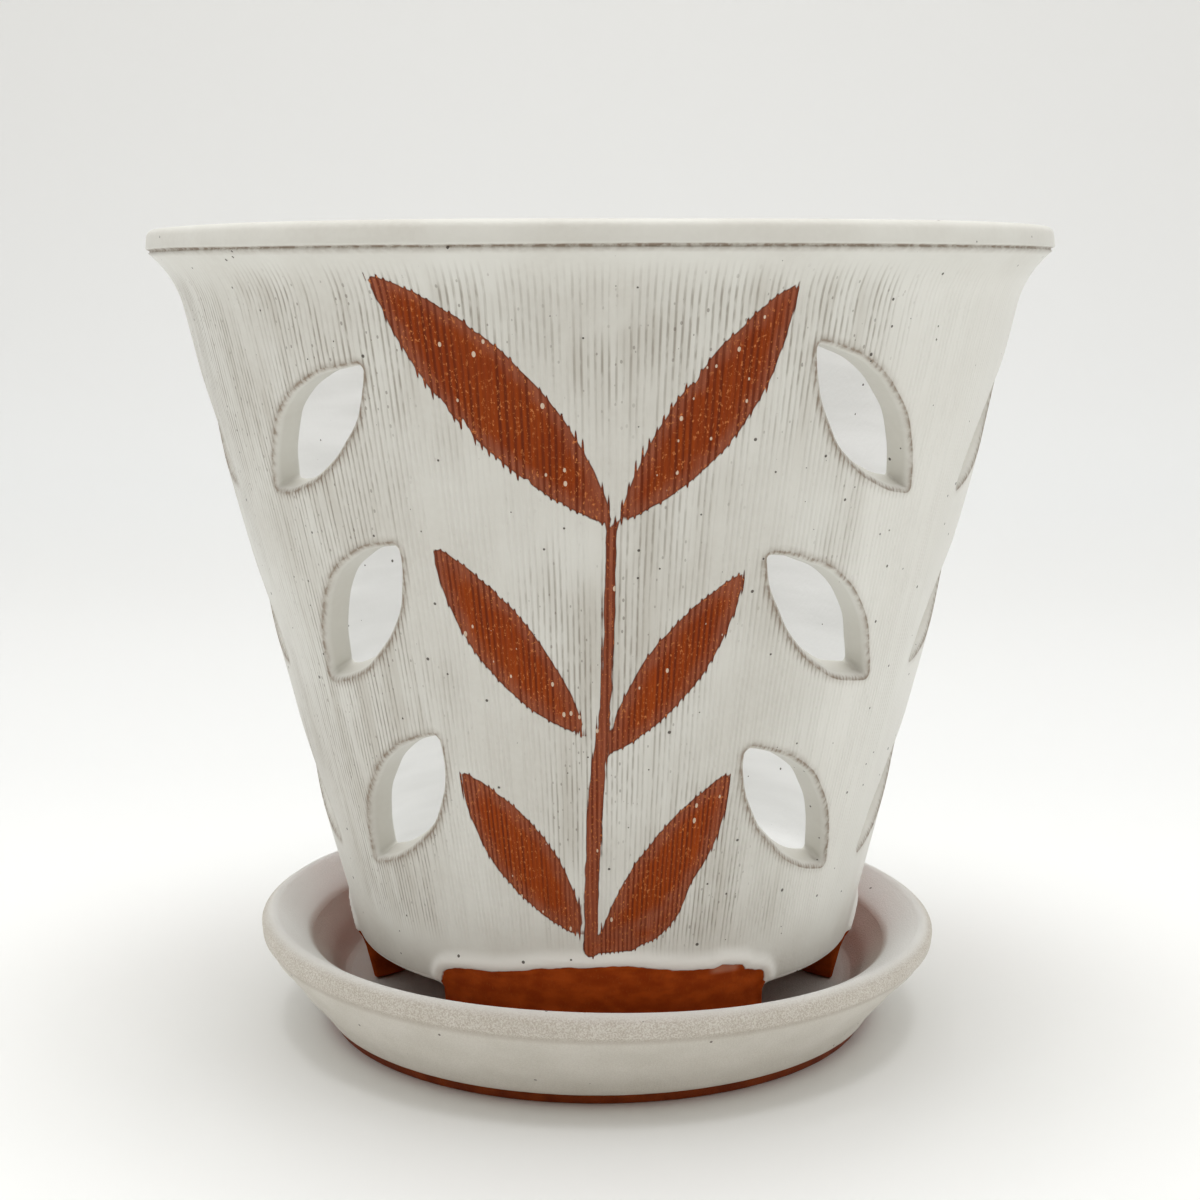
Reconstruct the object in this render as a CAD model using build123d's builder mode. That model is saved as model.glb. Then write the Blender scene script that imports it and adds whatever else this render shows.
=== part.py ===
from build123d import *
import os
from math import atan, cos, hypot, radians, sin, tan

# An orchid pot with leaf-shaped slots, standing in its own saucer.
# Millimetres, +Z up. The origin is on the table, under the middle of the saucer.
# The front of the pot faces -Y, and a turn is an angle about Z from the front, positive to the right.

# Pot: overall shape
POT_HEIGHT = 137.0  # from the foot to the top of the rim
RIM_RADIUS = 80.0  # widest part of the rim band
FOOT_RADIUS = 43.5  # where the wall meets the saucer
WALL = 5.0  # measured square to the wall
FLOOR = 6.0

# Pot: flared lip and the plain band round it
FLARE_DROP = 13.0  # the wall is straight up to this far below the rim
FLARE_RUN = 6.0  # how far the band stands out past the straight wall
RIM_WALL = 5.6  # width of the rim's top
BAND_HEIGHT = 4.1
BAND_LEAN = 0.6  # the band draws in this much at its top
BAND_ROUND = 1.5  # radius of the two top corners
GROOVE_DEPTH = 0.7  # scored line under the band
GROOVE_HEIGHT = 0.8

# Pot: foot ring, its notches and the drain
FOOT_HEIGHT = 8.5  # from the foot up to the underside of the floor
FOOT_RING = 8.0  # width of the ring that stands on the saucer
FOOT_EDGE = 0.6  # worn outer edge of the foot
NOTCH_WIDTH = 33.0
NOTCH_ROUND = 2.5
DRAIN_DIAMETER = 16.0
INSIDE_ROUND = 6.0  # hollow corner between the wall and the floor inside

# Pot: leaf-shaped slots, in mirrored pairs over the notches
GROUP_TURN = 58.0  # side groups and notches stand this far round from the front
SLOT_SPREAD = 20.0  # each slot of a pair stands this far round from its group
SLOT_LENGTH = 34.5
SLOT_WIDTH = 12.4
SLOT_LEAN = 44.0  # from upright, with the upper tips of a pair apart
SLOT_TIP_ROUND = 1.0
SLOT_EDGE_ROUND = 0.8  # sponged edge on the outside of each slot
SLOT_LOWEST = 41.9  # middle of the lowest row, above the foot
SLOT_TOP_DROP = 31.5  # middle of the highest row, below the rim
SLOT_LEAST_PITCH = 28.0  # rows are at least this far apart

# Saucer
SAUCER_HEIGHT = 19.5
SEAT_HEIGHT = 7.5  # top of the saucer's floor, where the pot stands
SEAT_CLEARANCE = 3.5  # from the pot's foot to the edge of the saucer's floor
SEAT_ROUND = 2.0
WELL_RUN = 6.2  # the well's wall widens by this much
WELL_DEPTH = 7.6
WELL_EDGE_ROUND = 1.0
RIM_RUN = 9.1  # width of the rim, from the well to the outer face of the lip
LIP_HEIGHT = 3.5  # outer face of the lip
LIP_LEAN = 0.5
LIP_ROUND = 2.2
LIP_CREST = 0.8  # level part of the lip, inside its rounded edge
CREST_ROUND = 2.0  # where the crest turns down into the sloping rim
LIP_EDGE_ROUND = 0.8  # lower edge of the lip
BASE_FLARE = 2.9  # the base is this much wider than the saucer's floor
BARE_HEIGHT = 1.6  # unglazed band at the foot of the saucer
BARE_STEP = 0.6
BASE_RING = 9.0  # width of the ring that stands on the table
BASE_HOLLOW = 2.0  # the middle of the underside is cut away this deep

NEAR = 0.05  # points closer to a surface than this lie on it

# Heights and radii that follow from the sizes above
foot_z = SEAT_HEIGHT
rim_z = foot_z + POT_HEIGHT
flare_z = rim_z - FLARE_DROP
groove_z = rim_z - BAND_HEIGHT
under_floor_z = foot_z + FOOT_HEIGHT
floor_z = under_floor_z + FLOOR
neck_radius = RIM_RADIUS - FLARE_RUN
top_radius = RIM_RADIUS - BAND_LEAN
taper = atan((neck_radius - FOOT_RADIUS) / (flare_z - foot_z))
wall_across = WALL / cos(taper)  # the wall measured level
ring_inner_radius = FOOT_RADIUS - FOOT_RING
drain_radius = DRAIN_DIAMETER / 2
group_turns = (-GROUP_TURN, GROUP_TURN, 180)
slot_span = POT_HEIGHT - SLOT_TOP_DROP - SLOT_LOWEST
slot_steps = max(1, int(slot_span // SLOT_LEAST_PITCH))
slot_heights = [foot_z + SLOT_LOWEST + slot_span * row / slot_steps for row in range(slot_steps + 1)]


def wall_radius(z):
    """Outside radius of the straight wall at a height."""
    return FOOT_RADIUS + (z - foot_z) * tan(taper)


def outward(turn):
    """Level direction from the axis at a turn from the front."""
    return Vector(sin(radians(turn)), -cos(radians(turn)), 0)


def sideways(turn):
    """Level direction to the right, seen from outside, at a turn from the front."""
    return Vector(cos(radians(turn)), sin(radians(turn)), 0)


def upslope(turn):
    """Direction up the straight wall at a turn from the front."""
    return outward(turn) * sin(taper) + Vector(0, 0, cos(taper))


def slot_plane(group, side, z):
    """Plane square to the wall, with its Y along the slot from the lower tip to the upper one."""
    turn = group + side * SLOT_SPREAD
    lean = radians(side * SLOT_LEAN)
    origin = outward(turn) * wall_radius(z) + Vector(0, 0, z)
    across = sideways(turn) * cos(lean) - upslope(turn) * sin(lean)
    normal = outward(turn) * cos(taper) - Vector(0, 0, sin(taper))
    return Plane(origin, across, normal)


def notch_plane(turn):
    """Upright plane through the axis at the foot, facing a notch."""
    return Plane(Vector(0, 0, foot_z), sideways(turn), outward(turn))


def corner(sketch, x, y):
    """The corner of a profile at a point."""
    return sketch.vertices().sort_by_distance((x, y))[0]


def is_slot_edge(edge):
    """Whether an edge is where a slot breaks through the outside of the wall."""
    middle = edge @ 0.5
    on_wall = abs(hypot(middle.X, middle.Y) - wall_radius(middle.Z)) < NEAR
    return on_wall and floor_z < middle.Z < flare_z - NEAR and edge.geom_type != GeomType.LINE


with BuildPart() as pot:
    # One thrown wall, from the foot ring up to the rim and back down the inside
    with BuildSketch(Plane.XZ) as pot_profile:
        with BuildLine():
            outside = Polyline(
                (ring_inner_radius, under_floor_z),
                (ring_inner_radius, foot_z),
                (FOOT_RADIUS, foot_z),
                (neck_radius, flare_z),
            )
            flare = TangentArc(
                outside @ 1,
                (RIM_RADIUS - GROOVE_DEPTH, groove_z),
                tangent=(sin(taper), cos(taper)),
            )
            Polyline(
                flare @ 1,
                (RIM_RADIUS, groove_z + GROOVE_HEIGHT),
                (top_radius, rim_z),
                (top_radius - RIM_WALL, rim_z),
            )
            inner_flare = TangentArc(
                (neck_radius - wall_across, flare_z),
                (top_radius - RIM_WALL, rim_z),
                tangent=(sin(taper), cos(taper)),
            )
            Polyline(
                inner_flare @ 0,
                (wall_radius(floor_z) - wall_across, floor_z),
                (drain_radius, floor_z),
                (drain_radius, under_floor_z),
                (ring_inner_radius, under_floor_z),
            )
        make_face()
        fillet(corner(pot_profile, top_radius, rim_z), BAND_ROUND)
        fillet(corner(pot_profile, top_radius - RIM_WALL, rim_z), BAND_ROUND)
        fillet(corner(pot_profile, FOOT_RADIUS, foot_z), FOOT_EDGE)
        fillet(corner(pot_profile, wall_radius(floor_z) - wall_across, floor_z), INSIDE_ROUND)
    revolve(axis=Axis.Z)

    # Notches across the foot ring
    for turn in group_turns:
        with BuildSketch(notch_plane(turn)) as notch:
            with Locations((0, FOOT_HEIGHT / 2)):
                Rectangle(NOTCH_WIDTH, FOOT_HEIGHT)
            fillet(notch.vertices().group_by(Axis.Y)[-1], NOTCH_ROUND)
    extrude(amount=wall_radius(floor_z), mode=Mode.SUBTRACT)

    # Slots cut square through the wall, with softened outer edges
    for group in group_turns:
        for side in (-1, 1):
            for z in slot_heights:
                with BuildSketch(slot_plane(group, side, z)) as slot:
                    with BuildLine():
                        ThreePointArc((0, -SLOT_LENGTH / 2), (SLOT_WIDTH / 2, 0), (0, SLOT_LENGTH / 2))
                        ThreePointArc((0, SLOT_LENGTH / 2), (-SLOT_WIDTH / 2, 0), (0, -SLOT_LENGTH / 2))
                    make_face()
                    fillet(slot.vertices(), SLOT_TIP_ROUND)
    extrude(amount=2 * WALL, both=True, mode=Mode.SUBTRACT)
    fillet(pot.edges().filter_by(is_slot_edge), SLOT_EDGE_ROUND)
pot.part.label = "pot"

seat_radius = FOOT_RADIUS + SEAT_CLEARANCE
base_radius = seat_radius + BASE_FLARE
well_edge = (seat_radius + WELL_RUN, SEAT_HEIGHT + WELL_DEPTH)
lip_top_radius = seat_radius + WELL_RUN + RIM_RUN
lip_top = (lip_top_radius, SAUCER_HEIGHT)
lip_crest = (lip_top_radius - LIP_ROUND - LIP_CREST, SAUCER_HEIGHT)
lip_edge = (lip_top_radius + LIP_LEAN, SAUCER_HEIGHT - LIP_HEIGHT)

with BuildPart() as saucer:
    with BuildSketch(Plane.XZ) as saucer_profile:
        with BuildLine():
            Polyline(
                (0, BASE_HOLLOW),
                (base_radius - BASE_RING, BASE_HOLLOW),
                (base_radius - BASE_RING, 0),
                (base_radius, 0),
                (base_radius + BARE_STEP, BARE_HEIGHT),
                lip_edge,
                lip_top,
                lip_crest,
                well_edge,
                (seat_radius, SEAT_HEIGHT),
                (0, SEAT_HEIGHT),
                close=True,
            )
        make_face()
        fillet(corner(saucer_profile, *lip_top), LIP_ROUND)
        fillet(corner(saucer_profile, *lip_crest), CREST_ROUND)
        fillet(corner(saucer_profile, *lip_edge), LIP_EDGE_ROUND)
        fillet(corner(saucer_profile, *well_edge), WELL_EDGE_ROUND)
        fillet(corner(saucer_profile, seat_radius, SEAT_HEIGHT), SEAT_ROUND)
    revolve(axis=Axis.Z)
saucer.part.label = "saucer"

os.makedirs("parts", exist_ok=True)
export_step(pot.part, "parts/pot.step")
export_step(saucer.part, "parts/saucer.step")
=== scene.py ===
from collections import namedtuple
from math import atan, atan2, ceil, cos, degrees, hypot, pi, radians, sin, sqrt, tan

import bmesh
import bpy
import numpy as np
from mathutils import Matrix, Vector
from mathutils.geometry import delaunay_2d_cdt


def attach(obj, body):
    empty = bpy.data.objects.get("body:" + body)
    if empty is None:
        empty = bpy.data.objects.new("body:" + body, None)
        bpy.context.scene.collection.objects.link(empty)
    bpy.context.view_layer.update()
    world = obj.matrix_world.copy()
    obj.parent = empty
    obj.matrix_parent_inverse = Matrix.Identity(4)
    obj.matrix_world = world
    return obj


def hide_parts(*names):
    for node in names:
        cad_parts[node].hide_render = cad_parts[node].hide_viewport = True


# The looks of an orchid pot with slots and its saucer.
# Shapes are worked out in millimetres and turned into metres when a mesh is made.
# A turn is an angle about Z in degrees, from the front at -Y, positive to the right.

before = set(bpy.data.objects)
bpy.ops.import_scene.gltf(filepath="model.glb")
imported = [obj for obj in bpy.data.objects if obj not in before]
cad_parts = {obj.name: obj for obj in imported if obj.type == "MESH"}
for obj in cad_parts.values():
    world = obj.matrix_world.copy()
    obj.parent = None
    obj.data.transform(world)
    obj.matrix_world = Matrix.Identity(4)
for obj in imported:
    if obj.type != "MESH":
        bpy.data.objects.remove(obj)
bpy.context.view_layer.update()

MM = 0.001

# Pot sizes, as in the CAD part
FOOT_Z = 7.5
UNDER_FLOOR_Z = 16.0
FLOOR_Z = 22.0
FLARE_Z = 131.5
RIM_Z = 144.5
FOOT_RADIUS = 43.5
RING_RADIUS = 35.5  # inside of the foot ring
DRAIN_RADIUS = 8.0
NECK_RADIUS = 74.0
RIM_RADIUS = 80.0
RIM_INNER_RADIUS = 73.8
WALL = 5.0
TAPER = atan((NECK_RADIUS - FOOT_RADIUS) / (FLARE_Z - FOOT_Z))
GROUP_TURN = 58.0  # side groups of slots and notches stand this far round from the front
GROUP_TURNS = (-GROUP_TURN, GROUP_TURN, 180.0)
NOTCH_HALF = 16.5
NOTCH_ROUND = 2.5
SLOT_SPREAD = 20.0
SLOT_LEAN = 44.0
SLOT_LENGTH = 34.5
SLOT_HEIGHTS = (113.0, 81.2, 49.4)

# Saucer sizes, as in the CAD part
SEAT_Z = 7.5
SEAT_RADIUS = 47.0
SAUCER_Z = 19.5
LIP_RADIUS = 62.3
BASE_RADIUS = 49.9
BASE_HOLLOW = 2.0
HOLLOW_RADIUS = 40.9

# How the hand-made pot strays from the CAD part
SLOT_WIDTH = 12.0
SLOT_TIP = 0.6
SLOT_NARROWS = (3.0, 1.8)  # a slot's length and width lose this much towards the inside
SLOT_SOFT = 0.9  # rounding of a slot's outer edge
SLOT_SHARP = 0.5  # rounding of its inner edge
SLOT_WAVES = ((2, 0.2), (3, 0.14), (7, 0.07), (11, 0.05))  # waves round a slot's edge, and their size
SLOT_SEED = 40
NOTCH_TURN = 1.8  # the notches stand this far round from the slots
NOTCH_EDGE_Z = 17.2  # the wall ends here and rounds over into the notch
FOOT_HALF = 27.3  # half the width of the front foot
FOOT_WEAR = 0.6
GLAZE_LINE = 22.6  # the glaze stops here over the middle of each foot
GLAZE_SAG = 2.6  # and this much lower beside the notches
NUB_TURN = 29.2  # a tongue of bare clay at the right end of the front foot
NUB_TOP = 20.4
NUB_FOOT = 19.0
NUB_HALF = 1.7
BARE_CORNERS = (1.2, 5.0)  # rounding of the bare clay on the front foot and the others
RING_DEPTH = 0.22  # throwing rings inside
RING_PITCH = 8.5
RIM_TILT = 0.003
RIM_WAVE = 0.06
FOOT_SHIFT = 0.7
SHRINK = 0.9985  # keeps the uneven rim inside the CAD part's reach
SEAT_GAP = 0.02  # between the foot and the saucer

# How the hand-made saucer strays from the CAD part
SAUCER_TILT = -0.019
SAUCER_SHIFT = -0.4
SEAT_DROP = 0.12  # the seat lies this much lower, clear of the pot's foot

# Mesh fineness
COLUMNS = 400
SAUCER_COLUMNS = 360
ARC_STEPS = 26
TIP_STEPS = 5

FAR = 9.0  # distance given to a place that is nowhere near bare clay


# Lines and outlines


def wall_radius(z):
    """Outside radius of the straight wall at a height."""
    return FOOT_RADIUS + (z - FOOT_Z) * tan(TAPER)


def wrap(turn):
    """A turn brought between -180 and 180."""
    return (turn + 180) % 360 - 180


def spread(start, end, spacing):
    """Numbers from start to end, both included, about a spacing apart."""
    return np.linspace(start, end, max(1, ceil(abs(end - start) / spacing)) + 1)


def run_along(path):
    """Distance along a path at each of its points."""
    return np.concatenate(((0,), np.cumsum(np.linalg.norm(np.diff(path, axis=0), axis=1))))


def along_path(path, count):
    """Evenly spaced points along a path, without its two ends."""
    path = np.array(path)
    run = run_along(path)
    places = np.linspace(0, run[-1], count + 2)[1:-1]
    return np.stack([np.interp(places, run, path[:, i]) for i in (0, 1)], axis=1)


def outward(along):
    """Directions square to a profile, from the directions along it."""
    normal = np.stack((along[:, 1], -along[:, 0]), axis=1)
    return normal / np.maximum(np.linalg.norm(normal, axis=1), 1e-9)[:, None]


def tangent_arc(start, direction, end, steps):
    """Points on the arc that leaves start in a direction and reaches end."""
    start, end = np.array(start, float), np.array(end, float)
    normal = np.array((direction[1], -direction[0]))
    chord = end - start
    radius = chord @ chord / (2 * (chord @ normal))
    centre = start + normal * radius
    first = atan2(*(start - centre)[::-1])
    last = atan2(*(end - centre)[::-1])
    if last - first > pi:
        last -= 2 * pi
    if first - last > pi:
        last += 2 * pi
    angles = np.linspace(first, last, steps + 1)
    return [centre + abs(radius) * np.array((cos(a), sin(a))) for a in angles]


def rounded(*corners, spacing, arc_spacing=0.5):
    """Points along a line of corners given as (radius, height, rounding)."""
    spots = [np.array(corner[:2], float) for corner in corners]
    points = spots[:1]

    def straight_to(end):
        start = points[-1]
        span = end - start
        count = max(1, ceil(np.linalg.norm(span) / spacing))
        points.extend(start + span * i / count for i in range(1, count + 1))

    for before, middle, after, (_, _, radius) in zip(spots, spots[1:], spots[2:], corners[1:]):
        back = (before - middle) / np.linalg.norm(before - middle)
        ahead = (after - middle) / np.linalg.norm(after - middle)
        half = np.arccos(np.clip(back @ ahead, -1, 1)) / 2
        reach = radius / tan(half)
        straight_to(middle + back * reach)
        if radius > 0:
            bisector = (back + ahead) / np.linalg.norm(back + ahead)
            centre = middle + bisector * radius / sin(half)
            first, last = points[-1] - centre, middle + ahead * reach - centre
            sweep = pi - 2 * half
            steps = max(2, ceil(sweep * radius / arc_spacing))
            for i in range(1, steps + 1):
                share = sweep * i / steps
                blend = first * sin(sweep - share) + last * sin(share)
                points.append(centre + blend / sin(sweep))
    straight_to(spots[-1])
    return points


def lens_outline(length, width, tip_round, grow):
    """Points round a leaf-shaped outline, as (across, along), grown outwards."""
    big = ((length / 2) ** 2 + (width / 2) ** 2) / width
    side = big - width / 2
    tip = sqrt((big - tip_round) ** 2 - side**2)
    half = atan2(tip, side)
    points = []
    for start, x, y, radius, sweep, steps in (
        (-half, -side, 0, big, 2 * half, ARC_STEPS),
        (half, 0, tip, tip_round, pi - 2 * half, TIP_STEPS),
        (pi - half, side, 0, big, 2 * half, ARC_STEPS),
        (pi + half, 0, -tip, tip_round, pi - 2 * half, TIP_STEPS),
    ):
        for i in range(steps):
            angle = start + sweep * i / steps
            points.append((x + (radius + grow) * cos(angle), y + (radius + grow) * sin(angle)))
    return np.array(points)


def lens_distance(across, along, length, right, left, blunt=0.0):
    """Distance outside a leaf shape, with its own bulge on each side."""
    big_r = ((length / 2) ** 2 + right**2) / (2 * right)
    big_l = ((length / 2) ** 2 + left**2) / (2 * left)
    from_r = np.hypot(across + big_r - right, along) - big_r
    from_l = np.hypot(across - big_l + left, along) - big_l
    return (from_r + from_l + np.sqrt((from_r - from_l) ** 2 + blunt**2)) / 2


def corner_distance(up, out, corner):
    """Distance outside a rounded corner, from how far past the rounding's middle a place is."""
    outside = np.hypot(np.maximum(up, 0), np.maximum(out, 0))
    return outside + np.minimum(np.maximum(up, out), 0) - corner


def ripple(turn, height, seed, waves, pitch, around):
    """Smooth unevenness, mostly between -1 and 1, the same on every run."""
    rng = np.random.default_rng(seed)
    total = np.zeros(np.broadcast(turn, height).shape)
    for _ in range(waves):
        turns_round = rng.integers(1, around + 1)
        slope = rng.uniform(-1, 1) * 2 * pi / pitch
        total = total + np.sin(turns_round * np.radians(turn) + slope * height + rng.uniform(0, 2 * pi))
    return total / sqrt(waves)


# Slots, as each was cut: the narrowing is a share of SLOT_NARROWS

Slot = namedtuple("Slot", "turn z length lean width narrowing")


def cut_slots():
    """The 18 slots. The six at the front follow the photo, and the others vary a little."""
    rng = np.random.default_rng(7)
    front = {
        (-GROUP_TURN, 1): (
            Slot(-39.05, 112.5, 34.4, 51, 12.0, 0.4),
            Slot(-37.6, 82.4, 33.8, 42, 13.6, 1.0),
            Slot(-36.2, 50.0, 33.4, 38, 12.9, 0.8),
        ),
        (GROUP_TURN, -1): (
            Slot(38.9, 114.0, 36.2, -46, 12.0, 1.0),
            Slot(37.4, 82.0, 35.7, -48.5, 12.2, 1.0),
            Slot(37.8, 48.7, 33.5, -42, 12.6, 1.0),
        ),
    }
    slots = []
    for group in GROUP_TURNS:
        for side in (-1, 1):
            if (group, side) in front:
                slots += front[group, side]
                continue
            for z in SLOT_HEIGHTS:
                stray = rng.uniform(-1, 1, 4) * (1.0, 0.8, 1.0, 4.0)
                turn = group + side * SLOT_SPREAD + stray[0]
                lean = side * SLOT_LEAN + stray[3]
                slots.append(Slot(turn, z + stray[1], SLOT_LENGTH + stray[2], lean, SLOT_WIDTH, 1.0))
    return slots


SLOTS = cut_slots()


def to_slot(slot, turn, z, depth=0.0):
    """(across, along) of a place on the wall, measured from a slot's middle."""
    lean = radians(slot.lean)
    level = np.radians(wrap(turn - slot.turn)) * (wall_radius(z) - depth * cos(TAPER))
    rise = (z - slot.z) / cos(TAPER)
    return level * cos(lean) - rise * sin(lean), level * sin(lean) + rise * cos(lean)


def from_slot(slot, across, along, depth):
    """(turn, height) on the wall's outside of a place given from a slot's middle."""
    lean = radians(slot.lean)
    level = across * cos(lean) + along * sin(lean)
    z = slot.z + (along * cos(lean) - across * sin(lean)) * cos(TAPER)
    return slot.turn + np.degrees(level / (wall_radius(z) - depth * cos(TAPER))), z


def slot_distance(slot, turn, z, depth=0.0):
    """Distance outside a slot on the wall, and how far across it the place is."""
    across, along = to_slot(slot, turn, z, depth)
    return lens_distance(across, along, slot.length, slot.width / 2, slot.width / 2), across


def lower_side(slot, across):
    """1 on the lower long side of a slot and 0 on the upper one."""
    return np.clip(across * np.sign(slot.lean) / 2, 0, 1)


# The pot's profile, as rows of points up the outside, over the rim, down the inside and round the foot

FLARE_END = (79.55, 140.35)
INNER_FLARE_END = (73.3, 142.8)
GROOVE = (79.3, 140.75)  # scored line under the band
UP_WALL = (sin(TAPER), cos(TAPER))
inner_neck = NECK_RADIUS - WALL / cos(TAPER)

flare = tangent_arc((NECK_RADIUS, FLARE_Z), UP_WALL, FLARE_END, 9)
band = rounded(
    (*FLARE_END, 0),
    (79.2, 140.75, 0.15),
    (RIM_RADIUS, 141.05, 0.3),
    (79.65, RIM_Z, 1.5),
    (RIM_INNER_RADIUS, RIM_Z, 1.7),
    (*INNER_FLARE_END, 0),
    spacing=1.5,
)
inner_flare = tangent_arc((inner_neck, FLARE_Z), UP_WALL, INNER_FLARE_END, 6)[::-1]
inside = rounded(
    (inner_neck, FLARE_Z, 0),
    (wall_radius(FLOOR_Z) - WALL / cos(TAPER), FLOOR_Z, 6.0),
    (DRAIN_RADIUS, FLOOR_Z, 1.0),
    (DRAIN_RADIUS, UNDER_FLOOR_Z, 0.8),
    (RING_RADIUS, UNDER_FLOOR_Z, 0),
    spacing=4.2,
    arc_spacing=0.9,
)
FINE_Z = 27.0  # rows are closer together below this, round the feet
wall_rows = np.concatenate((spread(NOTCH_EDGE_Z, FINE_Z, 0.9), spread(FINE_Z, FLARE_Z, 2.0)[1:]))
foot_path = rounded(
    (RING_RADIUS, UNDER_FLOOR_Z, 0),
    (RING_RADIUS, FOOT_Z, 0.8),
    (FOOT_RADIUS, FOOT_Z, 0.6),
    (wall_radius(NOTCH_EDGE_Z), NOTCH_EDGE_Z, 0),
    spacing=2.0,
    arc_spacing=0.3,
)[1:-1]
notch_path = rounded(
    (RING_RADIUS, UNDER_FLOOR_Z, 0),
    (wall_radius(UNDER_FLOOR_Z), UNDER_FLOOR_Z, 1.1),
    (wall_radius(NOTCH_EDGE_Z), NOTCH_EDGE_Z, 0),
    spacing=2.0,
    arc_spacing=0.3,
)

profile = [np.array((wall_radius(z), z)) for z in wall_rows]
outer_rows = len(profile)
profile += flare[1:] + band[1:]
rim_rows = len(profile)
profile += list(inner_flare[1:-1])
inner_start = len(profile)
profile += inside
foot_start = len(profile)
profile += foot_path
profile = np.array(profile)
ROWS = len(profile)
notch_profile = along_path(notch_path, len(foot_path))
inner_rows = [
    i for i in range(inner_start, foot_start) if profile[i][1] > FLOOR_Z + 7 and profile[i][0] > RING_RADIUS
]
foot_rows = [(foot_start + k, profile[foot_start + k], notch_profile[k]) for k in range(len(notch_profile))]

# Columns round the pot, with more of them at the ends of each notch

NOTCH_TURNS = [NOTCH_TURN + t for t in GROUP_TURNS]
END_STEPS = (-2.6, -1.7, -1.0, -0.5, -0.2, -0.05, 0.0, 0.15, 0.4, 0.8)  # columns, in mm from a notch's end
mm_turn = degrees(1 / wall_radius(UNDER_FLOOR_Z))


def upright_half(z):
    """Half a notch in degrees at a height on the outside, where its ends are upright."""
    return GROUP_TURN - np.degrees(np.arcsin(FOOT_HALF / wall_radius(z)))


def notch_place(turn, half):
    """Millimetres past the nearest notch's end, and degrees from its middle."""
    gaps = np.array([wrap(turn - t) for t in NOTCH_TURNS])
    nearest = np.abs(gaps).argmin(axis=0)
    gap = np.take_along_axis(gaps, nearest[None], axis=0)[0]
    return (np.abs(gap) - half) / mm_turn, gap


notch_half = upright_half(UNDER_FLOOR_Z)
notch_ends = [(t, side) for t in NOTCH_TURNS for side in (-1, 1)]
end_turns = [wrap(t + side * (notch_half + step * mm_turn)) for t, side in notch_ends for step in END_STEPS]
end_turns = np.array(end_turns)
plain_turns = np.linspace(-180, 180, COLUMNS, endpoint=False)
apart = np.abs(wrap(plain_turns[:, None] - end_turns)).min(axis=1)
turns = np.sort(np.concatenate((plain_turns[apart > 0.25], end_turns)))
COUNT = len(turns)

# Glaze on the outside: where it stops over the feet, and how it stands out


def foot_distance(turn, z):
    """Distance outside the bare clay of the feet."""
    past, gap = notch_place(turn, upright_half(z))
    front = np.abs(wrap(turn - NOTCH_TURN)) < 60
    corner = np.where(front, *BARE_CORNERS)
    beside = 60 - np.abs(gap)
    line = GLAZE_LINE - GLAZE_SAG * (beside / 34) ** 2 + 0.35 * ripple(turn, 0 * z, 3, 5, 50, 24)
    feet = corner_distance(z - line + corner, -past + corner, corner)
    nub_side = np.abs(turn - NUB_TURN) * 0.82 - NUB_HALF
    nub = corner_distance(nub_side, z - NUB_TOP + 0.12 * (turn - NUB_TURN), BARE_CORNERS[0])
    nub = np.where(np.abs(turn) < 60, np.maximum(nub, NUB_FOOT - z), FAR)
    return np.minimum(feet, nub)


def wall_relief(turn, z):
    """How far the glazed outside stands out from the plain wall."""
    even = 0.14 * ripple(turn, z, 11, 5, 60, 5) + 0.07 * ripple(turn, z, 12, 6, 22, 14)
    gap = foot_distance(turn, z)
    roll = 0.75 * np.exp(-(((gap - 1.3) / 1.2) ** 2)) + 0.25 * np.exp(-np.maximum(gap, 0) / 5)
    bare = -0.3 * (1 - np.exp(np.minimum(gap, 0) / 0.5))
    return even + np.where(gap > 0, roll, roll * np.exp(np.minimum(gap, 0) / 0.4) + bare)


def throwing_rings(turn, z):
    """How far the throwing rings stand out from the plain inside."""
    return RING_DEPTH * np.sin(2 * pi * z / RING_PITCH + np.radians(turn))


# Sprigs of bare clay, in turns from a sprig's middle and in heights

LEAVES = (
    # tip turn, tip height, base turn, base height, bulge above, bulge below
    (-25.2, 136.7, 4.0, 98.1, 7.4, 5.5),
    (24.7, 135.3, 3.9, 98.9, 4.25, 6.4),
    (-21.7, 95.1, -0.2, 63.8, 4.2, 5.7),
    (22.0, 90.8, 2.2, 60.6, 4.5, 4.6),
    (-22.2, 57.0, -1.9, 28.0, 5.4, 4.8),
    (23.3, 57.1, 0.6, 26.4, 3.8, 6.3),
)
STEM = (
    # turn, height, half width
    (-0.7, 26.0, 1.1),
    (0.0, 40.0, 1.15),
    (0.5, 49.0, 1.25),
    (1.2, 58.0, 1.15),
    (2.2, 66.0, 0.9),
    (2.85, 76.0, 0.75),
    (3.1, 87.0, 0.9),
    (3.3, 98.5, 0.75),
)
HEEL = (
    # broad foot of the lowest leaf, where it joins the stem
    (-0.7, 26.6, 1.2),
    (7.0, 27.6, 1.8),
    (11.5, 29.5, 1.9),
    (14.5, 32.4, 1.7),
    (17.2, 38.4, 1.3),
)
STROKES = (*zip(STEM, STEM[1:]), *zip(HEEL, HEEL[1:]))
SPRIG_TURNS = (0, 120, -120)
LEAF_BLUNT = 0.9
LEAF_OVERLENGTH = 0.8  # taken off again where the tip is blunted


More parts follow.
